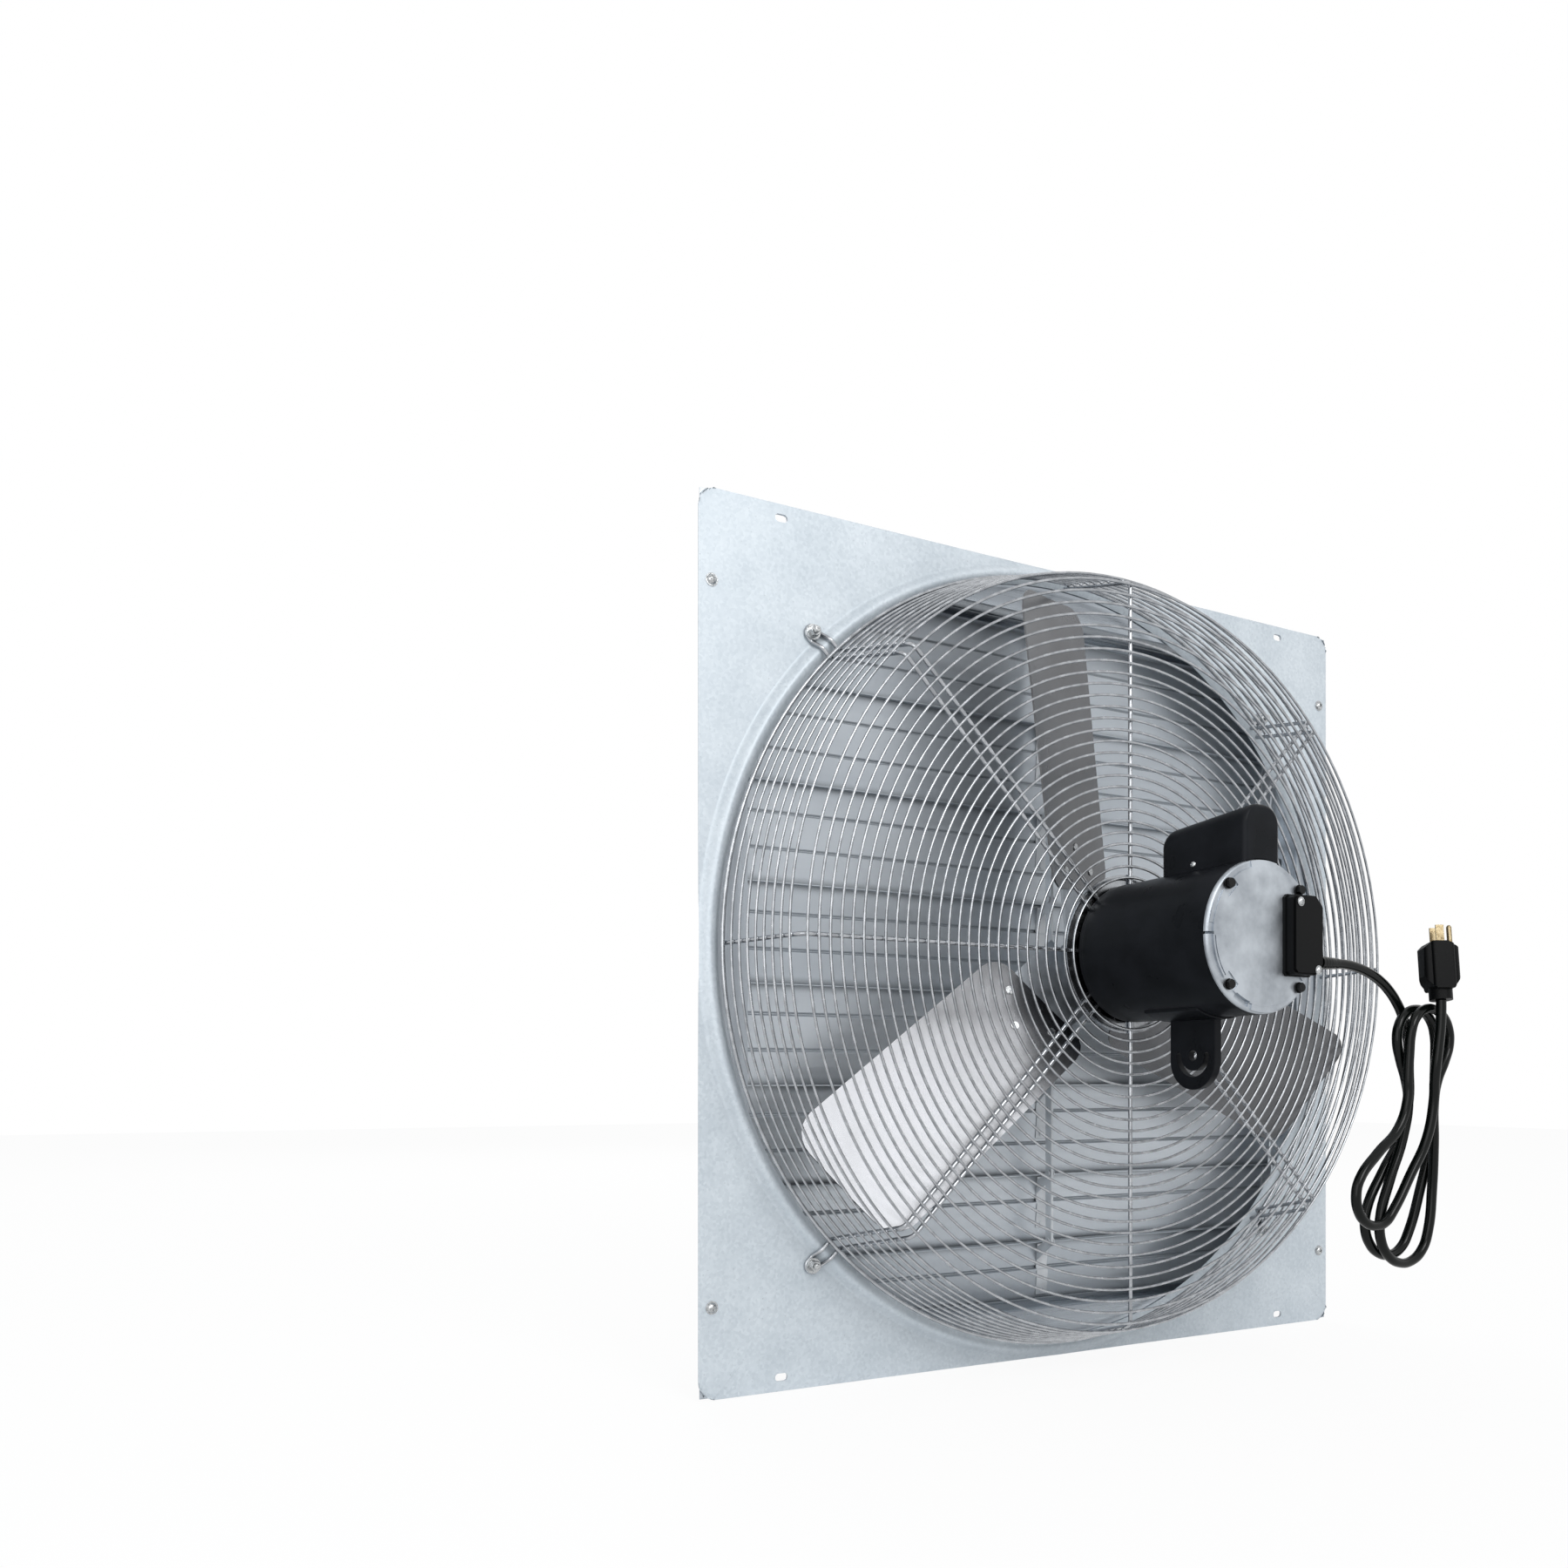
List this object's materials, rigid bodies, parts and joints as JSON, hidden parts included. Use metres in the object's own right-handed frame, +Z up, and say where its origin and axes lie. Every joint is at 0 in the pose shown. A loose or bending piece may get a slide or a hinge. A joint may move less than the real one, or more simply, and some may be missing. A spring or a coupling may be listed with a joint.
{
  "type": "shutter exhaust fan",
  "caption": "Square wall exhaust fan with a motor carried by a round wire guard, a bladed wheel behind a bell-mouth panel, and gravity louvers tied together on the far side.",
  "frame": {"origin": "on the fan axis, in the face of the flange that meets the wall", "axes": "+Z up; +Y along the fan axis toward the shutter side; -Y toward the motor and the room; +X to the right seen from the motor side"},
  "size_m": [0.893, 0.3928, 0.893],
  "materials": {
    "mill_aluminium": "satin",
    "galvanised_steel": "satin",
    "zinc_wire": "gloss",
    "black_enamel": "satin",
    "cast_aluminium": "matte",
    "core_steel": "satin",
    "ground_steel": "satin",
    "copper_winding": "satin",
    "zinc_screw": "satin",
    "black_bolt": "satin",
    "blade_aluminium": "satin",
    "black_plastic": "satin",
    "black_rubber": "matte",
    "prong_brass": "satin",
    "capacitor_can": "satin"
  },
  "bodies": {
    "frame": {"frame_top": "mill_aluminium", "frame_bottom": "mill_aluminium", "frame_left": "mill_aluminium", "frame_right": "mill_aluminium", "corner_clips": "mill_aluminium", "top_ledge": "mill_aluminium", "bottom_ledge": "mill_aluminium", "inlet_panel": "galvanised_steel", "panel_screws": "zinc_screw", "louver_pivots": "zinc_screw", "guard_front_rings": "zinc_wire", "guard_side_rings": "zinc_wire", "guard_spokes": "zinc_wire", "guard_hairpins": "zinc_wire", "guard_bolts": "zinc_screw", "motor_plate": "zinc_wire", "motor_nuts": "black_bolt", "front_end_bell": "black_enamel", "rear_end_bell": "cast_aluminium", "motor_shell": "black_enamel", "stator_core": "core_steel", "stator_windings": "copper_winding", "motor_bearings": "ground_steel", "motor_bolts": "black_bolt", "capacitor_cover": "black_enamel", "capacitor": "capacitor_can", "capacitor_screws": "zinc_screw", "terminal_cover": "black_plastic", "terminal_screws": "zinc_screw", "tilt_bracket": "black_enamel", "strain_relief": "black_rubber", "cord_lead": "black_rubber", "cord_hank": "black_rubber", "plug_body": "black_plastic", "plug_prongs": "prong_brass"},
    "fan_wheel": {"rotor_core": "core_steel", "motor_shaft": "ground_steel", "hub": "cast_aluminium", "blade_1": "blade_aluminium", "blade_2": "blade_aluminium", "blade_3": "blade_aluminium", "blade_rivets": "zinc_screw"},
    "shutter_1": {"louver_1": "mill_aluminium", "brackets_1": "mill_aluminium"},
    "shutter_2": {"louver_2": "mill_aluminium", "brackets_2": "mill_aluminium"},
    "shutter_3": {"louver_3": "mill_aluminium", "brackets_3": "mill_aluminium"},
    "shutter_4": {"louver_4": "mill_aluminium", "brackets_4": "mill_aluminium"},
    "shutter_5": {"louver_5": "mill_aluminium", "brackets_5": "mill_aluminium"},
    "shutter_6": {"louver_6": "mill_aluminium", "brackets_6": "mill_aluminium"},
    "shutter_7": {"louver_7": "mill_aluminium", "brackets_7": "mill_aluminium"},
    "shutter_8": {"louver_8": "mill_aluminium", "brackets_8": "mill_aluminium"},
    "tie_bar": {"tie_bar": "mill_aluminium"}
  },
  "joints": [
    {"name": "fan_spin", "type": "hinge", "parent": "frame", "child": "fan_wheel", "pos_m": [0, -0.047, 0], "axis": [0, -1, 0], "continuous": true},
    {"name": "louver_1_hinge", "type": "hinge", "parent": "frame", "child": "shutter_1", "pos_m": [0, 0.0386, 0.3666], "axis": [1, 0, 0], "range_deg": [0, 70]},
    {"name": "louver_2_hinge", "type": "hinge", "parent": "frame", "child": "shutter_2", "pos_m": [0, 0.0386, 0.2606], "axis": [1, 0, 0], "range_deg": [0, 70]},
    {"name": "louver_3_hinge", "type": "hinge", "parent": "frame", "child": "shutter_3", "pos_m": [0, 0.0386, 0.1546], "axis": [1, 0, 0], "range_deg": [0, 70]},
    {"name": "louver_4_hinge", "type": "hinge", "parent": "frame", "child": "shutter_4", "pos_m": [0, 0.0386, 0.0486], "axis": [1, 0, 0], "range_deg": [0, 70]},
    {"name": "louver_5_hinge", "type": "hinge", "parent": "frame", "child": "shutter_5", "pos_m": [0, 0.0386, -0.0574], "axis": [1, 0, 0], "range_deg": [0, 70]},
    {"name": "louver_6_hinge", "type": "hinge", "parent": "frame", "child": "shutter_6", "pos_m": [0, 0.0386, -0.1634], "axis": [1, 0, 0], "range_deg": [0, 70]},
    {"name": "louver_7_hinge", "type": "hinge", "parent": "frame", "child": "shutter_7", "pos_m": [0, 0.0386, -0.2694], "axis": [1, 0, 0], "range_deg": [0, 70]},
    {"name": "louver_8_hinge", "type": "hinge", "parent": "frame", "child": "shutter_8", "pos_m": [0, 0.0386, -0.3484], "axis": [1, 0, 0], "range_deg": [0, 70]},
    {"name": "tie_bar_pin", "type": "hinge", "parent": "shutter_4", "child": "tie_bar", "pos_m": [0.0055, 0.0206, 0.0766], "axis": [1, 0, 0], "range_deg": [-70, 0]}
  ],
  "couplings": [
    {"joint": "louver_2_hinge", "follows": "louver_1_hinge", "ratio": 1},
    {"joint": "louver_3_hinge", "follows": "louver_1_hinge", "ratio": 1},
    {"joint": "louver_4_hinge", "follows": "louver_1_hinge", "ratio": 1},
    {"joint": "louver_5_hinge", "follows": "louver_1_hinge", "ratio": 1},
    {"joint": "louver_6_hinge", "follows": "louver_1_hinge", "ratio": 1},
    {"joint": "louver_7_hinge", "follows": "louver_1_hinge", "ratio": 1},
    {"joint": "louver_8_hinge", "follows": "louver_1_hinge", "ratio": 1},
    {"joint": "tie_bar_pin", "follows": "louver_1_hinge", "ratio": -1}
  ]
}
